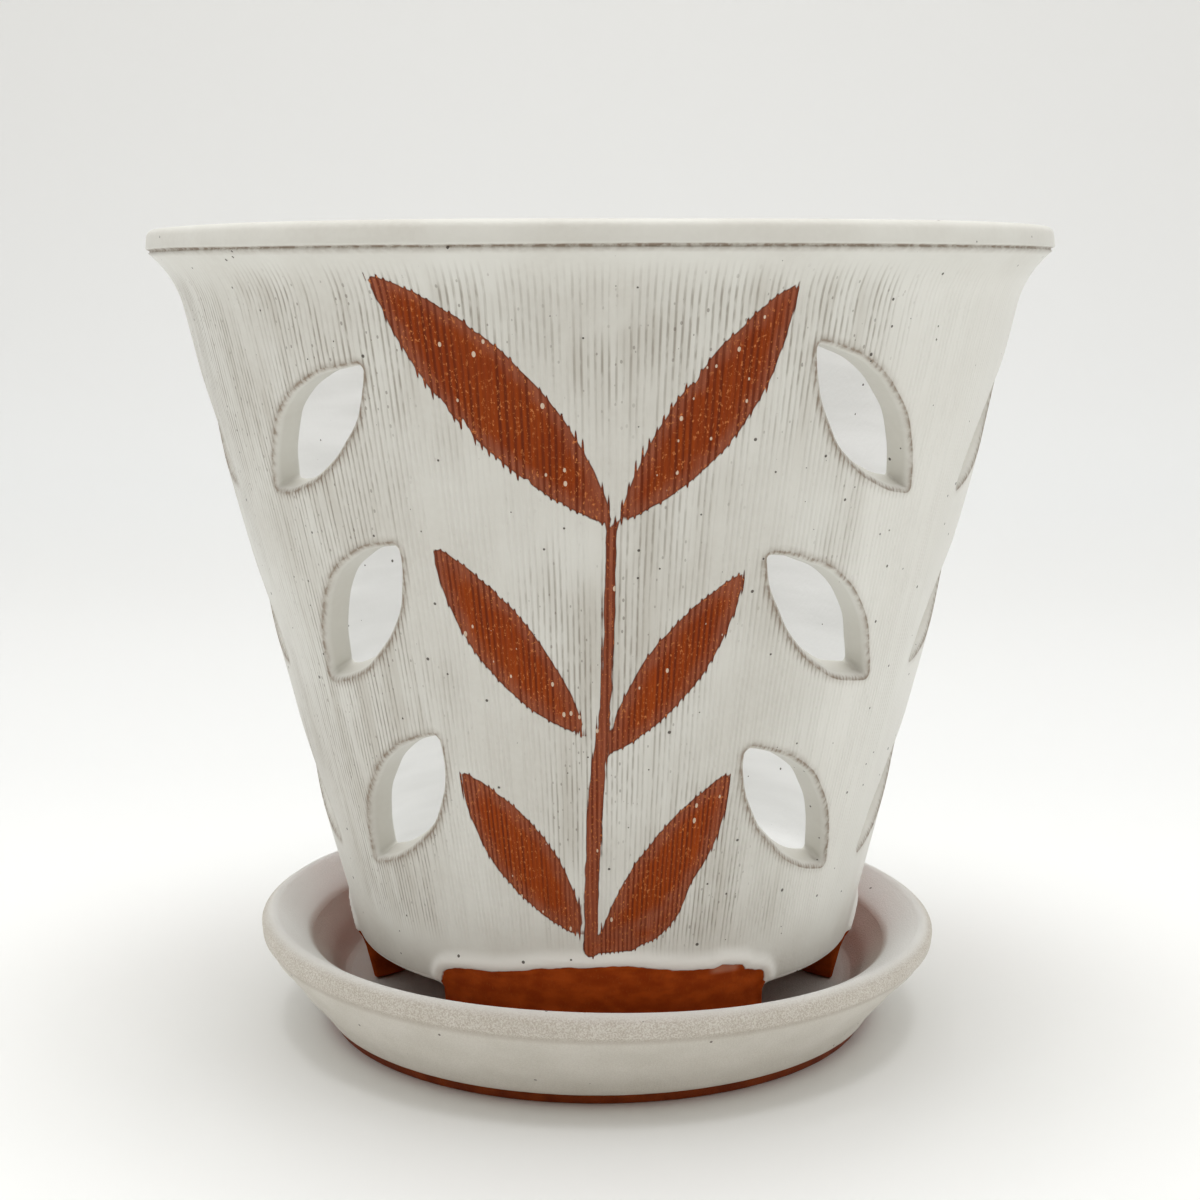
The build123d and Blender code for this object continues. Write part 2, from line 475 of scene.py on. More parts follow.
def sprig_distance(turn, z):
    """Distance outside the nearest leaf or stem."""
    best = np.full(np.broadcast(turn, z).shape, FAR)

    def flat(at_turn, at_z, middle):
        return np.radians(wrap(at_turn - middle)) * wall_radius(at_z), at_z / cos(TAPER)

    for number, middle in enumerate(SPRIG_TURNS):
        rng = np.random.default_rng(20 + number)
        x, y = flat(turn, z, middle)
        for tip_turn, tip_z, base_turn, base_z, above, below in LEAVES:
            stray = rng.uniform(-1, 1, 4) * (1.2, 1.5, 0.6, 0.6) * (number > 0)
            tip = flat(middle + tip_turn + stray[0], tip_z + stray[1], middle)
            base = flat(middle + base_turn, base_z, middle)
            length = hypot(tip[0] - base[0], tip[1] - base[1])
            ux, uy = (tip[0] - base[0]) / length, (tip[1] - base[1]) / length
            length += LEAF_OVERLENGTH
            dx, dy = x - base[0] - ux * length / 2, y - base[1] - uy * length / 2
            along, across = dx * ux + dy * uy, dx * uy - dy * ux
            bulges = (above + stray[2], below + stray[3])
            right, left = bulges if ux < 0 else bulges[::-1]
            best = np.minimum(best, lens_distance(across, along, length, right, left, LEAF_BLUNT))
        for (t0, z0, w0), (t1, z1, w1) in STROKES:
            x0, y0 = flat(middle + t0, z0, middle)
            x1, y1 = flat(middle + t1, z1, middle)
            span_x, span_y = x1 - x0, y1 - y0
            run = ((x - x0) * span_x + (y - y0) * span_y) / (span_x**2 + span_y**2)
            run = np.clip(run, 0, 1)
            gap = np.hypot(x - x0 - run * span_x, y - y0 - run * span_y)
            best = np.minimum(best, gap - w0 - run * (w1 - w0))
    return best


# The pot's mesh


def grid_faces(rows, columns, bands, left_out=()):
    """Faces of some bands between a grid's rows, closed round its columns."""
    faces = []
    for i in range(bands):
        above = (i + 1) % rows
        for c in range(columns):
            if (i, c) not in left_out:
                d = (c + 1) % columns
                corners = ((i, c), (i, d), (above, d), (above, c))
                faces.append(tuple(row * columns + column for row, column in corners))
    return faces


FACTS = ("sprig", "foot", "slot", "within", "edge", "under")  # what a material is told of a place
GRID = (ROWS, COUNT)


def uncut_foot(past):
    """1 where a column's foot is whole, and less where a notch cuts it away."""
    inward = np.clip(-past, 0, NOTCH_ROUND)
    ceiling = NOTCH_ROUND - np.sqrt(NOTCH_ROUND**2 - (NOTCH_ROUND - inward) ** 2)
    return np.where(past >= 0, 1.0, ceiling / (UNDER_FLOOR_Z - FOOT_Z))


def shape_grid():
    """Turn, radius and height of the plain pot's grid, with its feet cut and worn."""
    turn = np.tile(turns, (ROWS, 1))
    radius = np.tile(profile[:, :1], (1, COUNT))
    height = np.tile(profile[:, 1:], (1, COUNT))
    past, gap = notch_place(turns, notch_half)
    share = uncut_foot(past)
    worn = FOOT_WEAR * (1 - np.sqrt(1 - (1 - np.clip(past / 0.8, 0, 1)) ** 2)) * (past >= 0)
    middle = (RING_RADIUS + FOOT_RADIUS) / 2
    fade = np.where(past > 0, np.clip(1 - past / 12, 0, 1), np.clip(1 + past * mm_turn / notch_half, 0, 1))
    for row, foot, cut in foot_rows:
        foot_r = foot[0] + np.sign(middle - foot[0]) * np.minimum(worn, abs(middle - foot[0]))
        foot_z = foot[1] + worn * (foot[1] < FOOT_Z + 1)
        radius[row] = cut[0] + share * (foot_r - cut[0])
        height[row] = cut[1] + share * (foot_z - cut[1])
        # The cut ends run across the ring, and stand upright where they meet the outside
        inner_half = np.degrees(np.arcsin(NOTCH_HALF / max(foot[0], RING_RADIUS)))
        reach = np.clip((foot[0] - RING_RADIUS) / (FOOT_RADIUS - RING_RADIUS), 0, 1)
        foot_turn = inner_half + reach * (upright_half(max(foot[1], FOOT_Z)) - inner_half) - notch_half
        cut_turn = np.degrees(np.arcsin(NOTCH_HALF / cut[0])) - notch_half
        turn[row] += np.sign(gap) * (cut_turn + share * (foot_turn - cut_turn)) * fade
    return turn, radius, height, share


def add_relief(turn, radius, height, share):
    """Adds the glaze's relief outside and the throwing rings inside."""
    normal = outward(np.roll(profile, -1, axis=0) - np.roll(profile, 1, axis=0))
    relief = np.zeros(GRID)
    relief[:outer_rows] = wall_relief(turn[:outer_rows], height[:outer_rows])
    fade = np.linspace(1, 0, rim_rows - outer_rows + 2)[1:-1, None]
    relief[outer_rows:rim_rows] = fade * relief[outer_rows - 1]
    within = height[inner_start:foot_start]
    relief[inner_start:foot_start] = throwing_rings(turns, within) * (within > FLOOR_Z + 2)
    for row, foot, _ in foot_rows:
        on_wall = np.clip((foot[0] - FOOT_RADIUS + 0.4) / 0.5, 0, 1)
        relief[row] = on_wall * share * wall_relief(turn[row], height[row])
    radius += relief * normal[:, :1]
    height += relief * normal[:, 1:]


def grid_facts(turn, share):
    """What each place of the grid is, in the order of FACTS."""
    z = np.tile(profile[:, 1:], (1, COUNT))
    sprig = np.full(GRID, FAR)
    outside = slice(0, outer_rows + len(flare))
    sprig[outside] = sprig_distance(turn[outside], z[outside])

    foot = np.full(GRID, FAR)
    foot[:outer_rows] = foot_distance(turn[:outer_rows], z[:outer_rows])
    for row, place, _ in foot_rows:
        glazed = (share < 1) * np.clip((place[0] - 42) / 2.2, 0, 1) * np.clip(1 - share * 1.4, 0, 1)
        foot[row] = -2.0 + 2.6 * glazed
    foot[[i for i in range(inner_start, foot_start) if profile[i][1] < UNDER_FLOOR_Z + 1.2]] = -2.0

    near = np.full(GRID, 14.0)
    under = np.zeros(GRID)
    wall = slice(0, outer_rows)
    for slot in SLOTS:
        gap, across = slot_distance(slot, turn[wall], z[wall])
        under[wall] = np.where(gap < near[wall], lower_side(slot, across), under[wall])
        near[wall] = np.minimum(near[wall], gap)

    within = np.zeros(GRID)
    top = profile[outer_rows:rim_rows]
    within[outer_rows:rim_rows] = (np.clip((75.2 - top[:, 0]) / 1.5, 0, 1) * (top[:, 1] > 142))[:, None]
    within[rim_rows:foot_start] = 1

    edge = np.zeros(GRID)
    # The groove under the band gets the edge colour: brown glaze break and painted shade in the groove.
    groove = np.hypot(profile[:rim_rows, 0] - GROOVE[0], profile[:rim_rows, 1] - GROOVE[1])
    edge[:rim_rows] = np.clip(1.3 - groove / 0.5, 0, 1)[:, None]
    return np.stack([f.ravel() for f in (sprig, foot, near, within, edge, under)])


class PotMesh:
    """The pot's mesh while it is made: a grid, and loops that carry the slots."""

    # How far outside a slot and how brown each loop is, before the rounded edge and on it
    LEAD_LOOPS = ((1.9, 0), (1.55, 0.1), (1.2, 0.3))
    EDGE_BROWN = (0.55, 1.0, 0.6, 0.25, 0.12, 0.05)
    INNER_GROW = 1.3  # the last loop, on the inside of the wall

    def __init__(self):
        turn, radius, height, share = shape_grid()
        add_relief(turn, radius, height, share)
        self.places = [np.stack((turn.ravel(), radius.ravel(), height.ravel()))]
        self.facts = [grid_facts(turn, share)]
        self.count = ROWS * COUNT
        self.faces = []
        self.removed = set()

    def add_loop(self, slot, wobble, grow, depth, edge, is_inside):
        """A loop of places round a slot, grown outwards and at a depth in the wall."""
        narrowed = slot.narrowing * min(depth / WALL, 1)
        size = (slot.length - SLOT_NARROWS[0] * narrowed, slot.width - SLOT_NARROWS[1] * narrowed, SLOT_TIP)
        outline = lens_outline(*size, 0)
        points = outline + (lens_outline(*size, 1) - outline) * (grow + wobble)[:, None]
        turn, z = from_slot(slot, points[:, 0], points[:, 1], depth)
        lift = wall_relief(turn, z) * (depth < 0.5 * WALL)
        if is_inside:
            lift = -throwing_rings(turn, z + WALL * sin(TAPER))
        r = wall_radius(z) + (lift - depth) * cos(TAPER)
        self.places.append(np.stack((turn, r, z + (depth - lift) * sin(TAPER))))
        count = len(points)
        bare = sprig_distance(turn, z) if depth == 0 else np.full(count, FAR)
        gap = grow if depth == 0 else -depth
        flat_facts = [np.full(count, float(f)) for f in (FAR, gap, is_inside, edge)]
        self.facts.append(np.stack((bare, *flat_facts, lower_side(slot, points[:, 0]))))
        ids = np.arange(self.count, self.count + count)
        self.count += count
        return ids, turn, z

    def join(self, lower_loop, upper_loop):
        """Faces between two loops."""
        count = len(lower_loop)
        for i in range(count):
            j = (i + 1) % count
            self.faces.append((lower_loop[i], lower_loop[j], upper_loop[j], upper_loop[i]))

    def cells_near(self, slot, row_z, depth, margin):
        """The grid's cells that come closer to a slot than a margin, as (row, column)."""
        near_rows = [i for i in range(len(row_z) - 1) if abs((row_z[i] + row_z[i + 1]) / 2 - slot.z) < 26]
        near_columns = np.where(np.abs(wrap(turns - slot.turn)) < 32)[0]
        taken = set()
        for i in near_rows:
            for c in near_columns:
                t0 = turns[c]
                t1 = t0 + (turns[(c + 1) % COUNT] - t0) % 360
                t, h = np.meshgrid(np.linspace(t0, t1, 4), np.linspace(row_z[i], row_z[i + 1], 5))
                if slot_distance(slot, t, h, depth)[0].min() < margin:
                    taken.add((i, c))
        return taken

    def fill(self, slot, rows, depth, loop, margin):
        """Faces between the grid and a loop round a slot, in place of the grid's own."""
        ids, turn, z = loop
        row_z = profile[rows][:, 1] - depth * sin(TAPER)
        edges = {}
        for i, c in self.cells_near(slot, row_z, depth, margin):
            d = (c + 1) % COUNT
            ring = ((i, c), (i, d), (i + 1, d), (i + 1, c))
            for a, b in zip(ring, ring[1:] + ring[:1]):
                if (b, a) in edges:
                    del edges[(b, a)]
                else:
                    edges[(a, b)] = True
            self.removed.add((rows[i], c))
        corners = sorted({p for e in edges for p in e})
        index = {p: n for n, p in enumerate(corners)}
        scale = wall_radius(slot.z)

        def flat(at_turn, at_z):
            return Vector((radians(wrap(at_turn - slot.turn)) * scale, at_z - slot.z))

        points = [flat(turns[c], row_z[i]) for i, c in corners] + [flat(t, h) for t, h in zip(turn, z)]
        size, first = len(ids), len(corners)
        lines = [(index[a], index[b]) for a, b in edges]
        lines += [(first + i, first + (i + 1) % size) for i in range(size)]
        made = delaunay_2d_cdt(points, lines, [], 1, 1e-6)
        names = [rows[i] * COUNT + c for i, c in corners] + list(ids)
        for triangle in made[2]:
            source = [made[3][v][0] for v in triangle]
            if min(source) < first:
                self.faces.append(tuple(int(names[s]) for s in source))

    def cut(self, slot, seed):
        """Opens a slot through the wall, with a soft outer edge and a sharper inner one."""
        rng = np.random.default_rng(seed)
        around = np.linspace(0, 2 * pi, 2 * (ARC_STEPS + TIP_STEPS), endpoint=False)
        wobble = sum(size * np.sin(n * around + rng.uniform(0, 6)) for n, size in SLOT_WAVES)
        steps = [(grow, 0.0, brown, False) for grow, brown in self.LEAD_LOOPS]
        for step, brown in enumerate(self.EDGE_BROWN):
            bend = step / (len(self.EDGE_BROWN) - 1) * pi / 2
            steps.append((SLOT_SOFT * (1 - sin(bend)), SLOT_SOFT * (1 - cos(bend)), brown, False))
        steps += [(0.0, depth, 0.0, False) for depth in np.linspace(SLOT_SOFT, WALL - SLOT_SHARP, 5)[1:]]
        for step in (1, 2, 3):
            bend = step / 3 * pi / 2
            depth = WALL - SLOT_SHARP + SLOT_SHARP * sin(bend)
            steps.append((SLOT_SHARP * (1 - cos(bend)), depth, 0.0, step == 3))
        steps.append((self.INNER_GROW, WALL, 0.0, True))
        loops = [self.add_loop(slot, wobble, *step) for step in steps]
        for one, two in zip(loops, loops[1:]):
            self.join(one[0], two[0])
        self.fill(slot, list(range(outer_rows)), 0.0, loops[0], 2.4)
        self.fill(slot, inner_rows, WALL, loops[-1], 1.75)

    def points(self):
        """Places in millimetres, with a slight lean and a rim that isn't quite even or level."""
        turn, r, z = np.concatenate(self.places, axis=1)
        angle = np.radians(turn)
        points = np.stack((r * np.sin(angle), -r * np.cos(angle), z), axis=1)
        up = np.clip((points[:, 2] - FOOT_Z) / (RIM_Z - FOOT_Z), 0, 1)
        points[:, 0] += FOOT_SHIFT * (1 - up)
        wave = RIM_WAVE * (ripple(turn, 0 * turn, 31, 3, 60, 4) - 1.5)
        points[:, 2] += up**2 * (RIM_TILT * (points[:, 0] - RIM_RADIUS) + wave)
        points[:, :2] *= SHRINK
        points[:, 2] += SEAT_GAP * (1 - up)
        return points


def build_pot():
    """Mesh data of the pot: places, faces and facts."""
    pot_mesh = PotMesh()
    for number, slot in enumerate(SLOTS):
        pot_mesh.cut(slot, SLOT_SEED + number)
    faces = pot_mesh.faces + grid_faces(ROWS, COUNT, ROWS, pot_mesh.removed)
    facts = np.concatenate(pot_mesh.facts, axis=1)
    return pot_mesh.points(), faces, dict(zip(FACTS, facts))


# The saucer's mesh


def build_saucer():
    """Mesh data of the saucer, turned from one profile."""
    line = rounded(
        (0.6, BASE_HOLLOW, 0),
        (HOLLOW_RADIUS, BASE_HOLLOW, 0.5),
        (HOLLOW_RADIUS, 0.0, 0.6),
        (BASE_RADIUS, 0.0, 0.5),
        (50.3, 1.7, 0.2),
        (51.2, 2.1, 0.5),
        (62.7, 16.5, 1.0),
        (LIP_RADIUS, SAUCER_Z, 2.0),
        (59.3, SAUCER_Z, 2.2),
        (53.2, 15.1, 1.2),
        (SEAT_RADIUS, SEAT_Z, 2.0),
        (0.6, SEAT_Z, 0),
        spacing=1.6,
        arc_spacing=0.4,
    )
    line = np.array(line)
    rows, columns = len(line), SAUCER_COLUMNS
    turn = np.tile(np.linspace(-180, 180, columns, endpoint=False), (rows, 1))
    r = np.tile(line[:, :1], (1, columns))
    z = np.tile(line[:, 1:], (1, columns))
    normal = outward(np.gradient(line, axis=0))
    run = run_along(line)

    # Turning rings and unevenness, little of them on the seat and none on the base
    above = (line[:, 1] > 2.4)[:, None] * 1.0
    seat = (np.arange(rows) > rows // 2)[:, None] & (r < SEAT_RADIUS - 1)
    rings = 0.1 * np.sin(2 * pi * run / 2.6)[:, None] + 0.12 * np.sin(2 * pi * run / 7.3)[:, None]
    uneven = 0.16 * ripple(turn, z, 51, 4, 30, 6)
    relief = above * (rings + uneven) * np.where(seat, 0.25, 1.0)
    relief = np.where(seat, relief - SEAT_DROP, relief)
    r = r + relief * normal[:, :1]
    z = z + relief * normal[:, 1:]

    angle = np.radians(turn)
    x, y = r * np.sin(angle), -r * np.cos(angle)
    up = np.clip((z - 8) / (SAUCER_Z - 8), 0, 1) * (r > SEAT_RADIUS)
    z = z + up * SAUCER_TILT * x
    x = x + SAUCER_SHIFT
    points = np.stack((x.ravel(), y.ravel(), z.ravel()), axis=1)
    points = np.vstack((points, (SAUCER_SHIFT, 0, BASE_HOLLOW), (SAUCER_SHIFT, 0, SEAT_Z - SEAT_DROP)))

    faces = grid_faces(rows, columns, rows - 1)
    count = rows * columns
    for c in range(columns):
        d = (c + 1) % columns
        faces.append((count, d, c))
        faces.append((count + 1, (rows - 1) * columns + c, (rows - 1) * columns + d))

    # Millimetres along the profile from where the glaze starts, above the base
    start = np.argmin(np.abs(line[:, 1] - 2.0) + np.abs(line[:, 0] - 51))
    glaze = run - run[start]
    facts = np.concatenate((np.repeat(glaze, columns), (glaze[0], glaze[-1])))
    return points, faces, {"glaze": facts}


def add_object(name, data):
    """A new object in the scene."""
    made = bpy.data.objects.new(name, data)
    bpy.context.scene.collection.objects.link(made)
    return made


def make_mesh(name, points, faces, facts):
    """A smooth mesh object in metres, with the facts of its places."""
    mesh = bpy.data.meshes.new(name)
    mesh.from_pydata((points * MM).tolist(), [], [tuple(int(v) for v in f) for f in faces])
    for label, values in facts.items():
        mesh.attributes.new(label, "FLOAT", "POINT").data.foreach_set("value", values.astype(np.float32))
    work = bmesh.new()
    work.from_mesh(mesh)
    loose = [v for v in work.verts if not v.link_faces]
    bmesh.ops.delete(work, geom=loose, context="VERTS")
    bmesh.ops.recalc_face_normals(work, faces=work.faces)
    work.to_mesh(mesh)
    work.free()
    mesh.shade_smooth()
    return add_object(name, mesh)


pot = make_mesh("pot_body", *build_pot())
saucer = make_mesh("saucer_body", *build_saucer())

# Materials


class Graph:
    """A node tree and short ways to add nodes to it."""

    def __init__(self, tree):
        self.tree = tree

    def put(self, socket, value):
        """Links an output to a socket, or sets it to a plain value."""
        if isinstance(value, bpy.types.NodeSocket):
            self.tree.links.new(value, socket)
        elif socket.type == "RGBA":
            socket.default_value = (*value, 1)
        else:
            socket.default_value = value

    def node(self, kind, *values, **settings):
        """A node with its first inputs and its settings filled in."""
        made = self.tree.nodes.new("ShaderNode" + kind)
        for key, value in settings.items():
            setattr(made, key, value)
        for socket, value in zip(made.inputs, values):
            self.put(socket, value)
        return made

    def fill(self, node, **values):
        """Fills in some of a node's inputs by name."""
        for name, value in values.items():
            self.put(node.inputs[name], value)
        return node

    def math(self, operation, *values):
        return self.node("Math", *values, operation=operation).outputs[0]

    def product(self, *values):
        total = values[0]
        for value in values[1:]:
            total = self.math("MULTIPLY", total, value)
        return total

    def line(self, value, slope, start):
        """A value times a slope, plus a start."""
        return self.math("MULTIPLY_ADD", value, slope, start)

    def step(self, value, low, high, to_low=0.0, to_high=1.0):
        """A smooth change between two numbers while a value goes from low to high."""
        made = self.node("MapRange", value, low, high, to_low, to_high, interpolation_type="SMOOTHSTEP")
        return made.outputs["Result"]

    def fact(self, name):
        return self.node("Attribute", attribute_name=name).outputs["Fac"]

    def vector(self, operation, *values):
        return self.node("VectorMath", *values, operation=operation).outputs[0]

    def scaled(self, vector, scale):
        made = self.node("VectorMath", vector, operation="SCALE")
        return self.fill(made, Scale=scale).outputs[0]

    def noise(self, vector, scale, detail=2.0, roughness=0.5):
        made = self.node("TexNoise")
        self.fill(made, Vector=vector, Scale=scale, Detail=detail, Roughness=roughness)
        return made.outputs["Fac"]

    def specks(self, vector, spacing, size, share):
        """1 inside round specks of a size, in a share of the cells a spacing apart."""
        cells = self.fill(self.node("TexVoronoi"), Vector=vector, Scale=1 / spacing)
        pick = self.node("SeparateColor", cells.outputs["Color"])
        chosen = self.math("LESS_THAN", pick.outputs["Red"], share)
        reach = self.line(pick.outputs["Green"], 0.7 * size / spacing, 0.3 * size / spacing)
        near = self.math("LESS_THAN", cells.outputs["Distance"], reach)
        return self.math("MULTIPLY", near, chosen)

    def mix(self, share, first, second):
        made = self.node("Mix", data_type="RGBA")
        self.put(made.inputs[0], share)
        self.put(made.inputs[6], first)
        self.put(made.inputs[7], second)
        return made.outputs[2]

    def coats(self, under, *layers):
        """Colours laid over one another, each as thick as the product of its shares."""
        for over, *shares in layers:
            under = self.mix(self.product(*shares), under, over)
        return under

    def millimetres(self):
        return self.scaled(self.node("TexCoord").outputs["Object"], 1000)

    def drum(self, place, radius):
        """A place as if the wall were wrapped on a plain drum."""
        x, y, z = self.node("SeparateXYZ", place).outputs
        level = self.vector("NORMALIZE", self.node("CombineXYZ", x, y, 0.0).outputs[0])
        height = self.node("CombineXYZ", 0.0, 0.0, z).outputs[0]
        return self.vector("ADD", self.scaled(level, radius), height)


def new_material(name, gloss):
    """A material with a plain shader of some gloss, and its graph."""
    material = bpy.data.materials.new(name)
    material.use_nodes = True
    shader = material.node_tree.nodes["Principled BSDF"]
    shader.inputs["Specular IOR Level"].default_value = gloss
    return material, Graph(material.node_tree), shader


def dress(g, shader, colour, roughness, height):
    """Gives a shader its colour, roughness and fine relief in millimetres."""
    g.put(shader.inputs["Base Color"], colour)
    bump = g.fill(g.node("Bump"), Strength=1.0, Distance=MM, Height=height)
    g.fill(shader, Roughness=roughness, Normal=bump.outputs["Normal"])


COMB_LINES = 430  # combed lines round the pot
POT_DRUM = 62  # radius of the drum that the pot's patterns are wrapped on
SAUCER_DRUM = 55
POT_GLOSS = 0.13
SAUCER_GLOSS = 0.2
FLOOR_GLOSS = 0.2
FLOOR_ROUGHNESS = 0.6

# Colours of the pot's glaze
GLAZE = ((0.645, 0.632, 0.585), (0.725, 0.722, 0.68))  # thin and thick
GLAZE_GRAIN = (0.74, 0.735, 0.69)
GLAZE_WORN = (0.42, 0.385, 0.325)
GLAZE_LINES = (0.23, 0.195, 0.155)
GLAZE_DOTS = (0.15, 0.12, 0.095)
GLAZE_TICKS = (0.2, 0.15, 0.11)
# Brown where the glaze breaks at the slots' edges and in the groove under the band; in the groove also
# painted shade.
GLAZE_BREAK_AND_GROOVE_SHADE = (0.21, 0.15, 0.10)
GLAZE_POOLED = (0.92, 0.915, 0.88)
GLAZE_THICKER = (0.82, 0.815, 0.775)
GLAZE_CUTS = (0.50, 0.48, 0.42)
# The inside glaze is whiter than the outside: partly its own neutral white, partly painted light for the
# bright inside.
GLAZE_INSIDE_WHITE_AND_PAINTED_LIGHT = ((0.74, 0.74, 0.725), (0.83, 0.83, 0.82))
GLAZE_PITS = (0.06, 0.045, 0.035)

# Colours of the pot's bare clay
# The sprigs' clay is lighter low on the wall: painted light that makes up for the dimmer light near the
# foot.
CLAY_WITH_PAINTED_LIGHT_LOW = ((0.275, 0.040, 0.002), (0.345, 0.053, 0.003))  # high and low on the wall
CLAY_BRIGHT = (0.37, 0.068, 0.003)
CLAY_DULL = (0.34, 0.125, 0.075)
CLAY_STREAKS = (0.19, 0.026, 0.003)
CLAY_FURROWS = (0.11, 0.014, 0.002)
# Painted shade along the sprigs' edges, where the raised glaze edge shades the clay.
CLAY_EDGE_SHADE = (0.07, 0.018, 0.01)
CLAY_FLECKS = (0.65, 0.215, 0.065)
CLAY_DROPS = (0.74, 0.6, 0.46)
# The feet's clay is lighter than the sprigs' clay: painted light against the shade the feet stand in.
FOOT_CLAY_WITH_PAINTED_LIGHT = ((0.33, 0.045, 0.002), (0.50, 0.083, 0.007))
FOOT_FLECKS = (0.5, 0.15, 0.04)
FOOT_SMEAR = (0.60, 0.29, 0.19)

# Colours of the saucer
SAUCER_GLAZE = ((0.66, 0.63, 0.565), (0.73, 0.70, 0.64))
SAUCER_GRAIN = (0.735, 0.71, 0.655)
SAUCER_SAND = (0.42, 0.37, 0.31)
LIP_SAND = (0.40, 0.33, 0.265)
# Painted shade along the crease under the lip's outer edge.
LIP_CREASE_SHADE = (0.36, 0.3, 0.24)
# The lip's top and inner slope: whiter glaze, made lighter still as painted light where the pot's shadow
# falls on them.
LIP_TOP_WHITE_AND_PAINTED_LIGHT = (0.90, 0.895, 0.88)
WELL_PINK = (0.52, 0.41, 0.37)
SEAT_GREY = (0.45, 0.42, 0.4)
SAUCER_PITS = (0.1, 0.08, 0.06)
BASE_CLAY = ((0.145, 0.02, 0.001), (0.215, 0.037, 0.003))

# Colours of the table, near and far, and of the backdrop; the far table is darker as painted shade that
# holds down the lamp's light there
TABLE = ((0.875, 0.88, 0.87), (0.79, 0.795, 0.79))
BACKDROP = (0.91, 0.925, 0.93)


def pot_material():
    """White glaze that thins over combed lines, with bare red clay on the sprigs and feet."""
    material, g, shader = new_material("pot_glaze", POT_GLOSS)
    place = g.millimetres()
    drum = g.drum(place, POT_DRUM)
    x, y, z = g.node("SeparateXYZ", place).outputs
    turn = g.math("ARCTAN2", x, g.product(y, -1.0))
    sprig, foot, slot, within, edge, under = (g.fact(name) for name in FACTS)

    def tall(share):
        """The drum with a share of its height, which draws a pattern out upwards."""
        return g.vector("MULTIPLY", drum, (1, 1, share))

    # Combed lines, which wander a little and come and go, fewer of them right of the front
    wander = g.product(g.noise(tall(0.3), 0.08), 6.0)
    comb = g.math("SINE", g.line(turn, float(COMB_LINES), wander))
    lines = g.step(g.noise(tall(0.07), 0.7), 0.29, 0.57)
    beads = g.step(g.noise(tall(0.3), 1.4), 0.30, 0.60, 0.3, 1.0)
    patch = g.step(g.noise(tall(0.6), 0.035), 0.44, 0.62)
    upper = g.product(g.step(z, 104, 122), g.step(g.noise(drum, 0.05, 1), 0.36, 0.56))
    sparse = g.product(g.step(turn, 0.60, 0.80), g.step(turn, 1.9, 1.6), 0.75)
    patch = g.product(g.math("MAXIMUM", patch, upper), g.math("SUBTRACT", 1.0, sparse))
    outside = g.math("SUBTRACT", 1.0, g.step(within, 0.1, 0.5))
    on_wall = g.product(outside, g.step(slot, 0.1, 0.6), g.step(z, 139.0, 133.0), g.step(z, 23, 30))
    line = g.product(g.step(comb, -0.05, 0.95), lines, beads, g.line(patch, 0.89, 0.11), on_wall)

    # Ticks across the slots' edges, fewer of them on the upper sides
    near = g.math("MAXIMUM", g.product(g.step(slot, 2.6, 0.6), under), g.step(slot, 1.1, 0.3))
    ticks = g.product(g.step(comb, -0.1, 0.9), near, beads, outside, g.step(slot, -0.6, -0.1))
    stretches = g.step(g.noise(place, 0.22), 0.42, 0.62, 0.1, 1.0)
    ticks = g.product(ticks, g.math("MAXIMUM", stretches, under))

    # White glaze: mottled, brown where it thins on the lines and at the slots' edges, and dark in the
    # groove under the band, partly brown glaze break and partly painted shade
    rubbed = g.step(g.noise(tall(0.12), 0.3, 3), 0.4, 0.7)
    dots = g.specks(tall(0.6), 0.8, 0.2, 0.3)
    broken = g.step(g.noise(place, 0.75, 3, 0.6), 0.36, 0.62)
    glaze = g.coats(
        g.mix(g.step(g.noise(drum, 0.05, 3), 0.3, 0.7), *GLAZE),
        (GLAZE_GRAIN, g.step(g.noise(place, 0.9), 0.35, 0.7), 0.22),
        (GLAZE_WORN, patch, rubbed, on_wall, 0.34),
        (GLAZE_LINES, line, 0.66),
        (GLAZE_DOTS, dots, g.line(patch, 0.8, 0.1), on_wall, 0.6),
        (GLAZE_TICKS, ticks, 0.62),
        (GLAZE_BREAK_AND_GROOVE_SHADE, edge, g.line(broken, 0.6, 0.4), 0.86),
        (GLAZE_POOLED, g.step(foot, 4.0, 1.2), outside, 0.95),
        (GLAZE_THICKER, sparse, 0.75, on_wall),
        (GLAZE_CUTS, g.step(slot, -0.6, -1.6), outside, 0.35),
    )

    # Inside, faint rings follow the wall up and the floor outwards, on a glaze that is whiter than outside,
    # partly its own colour and partly painted light
    out = g.math("SQRT", g.math("ADD", g.product(x, x), g.product(y, y)))
    climb = g.node("CombineXYZ", 0.0, 0.0, g.math("ADD", z, out)).outputs[0]
    ring = g.vector("ADD", g.vector("MULTIPLY", place, (0.15, 0.15, 0)), climb)
    inside_white_and_painted_light = g.mix(g.step(g.noise(ring, 0.13, 3), 0.3, 0.7), *GLAZE_INSIDE_WHITE_AND_PAINTED_LIGHT)
    pits = g.specks(place, 1.6, 0.29, 0.10)
    glaze = g.coats(glaze, (inside_white_and_painted_light, g.step(within, 0.2, 0.8)), (GLAZE_PITS, pits, 0.88))

    # Bare clay of the sprigs: comb teeth along the edges, most on the upper leaves
    teeth = g.step(g.noise(tall(0.06), 0.8, 1), 0.34, 0.66)
    ragged = g.product(g.step(z, 128, 115), g.step(z, 101, 108), g.step(g.noise(drum, 0.08, 1), 0.36, 0.52))
    spike = g.product(g.step(comb, 0.0, 1.0), teeth, g.line(ragged, 0.55, 0.32))
    bite = g.step(g.noise(tall(0.3), 0.42, 1), 0.58, 0.68)
    bite = g.product(bite, g.line(ragged, 1.1, 0.1))
    bumps = g.line(g.noise(tall(0.7), 0.45, 1), 0.5, -0.25)
    cut = g.math("SUBTRACT", g.math("ADD", g.math("ADD", sprig, bumps), bite), spike)
    bare = g.step(cut, 0.08, -0.08)
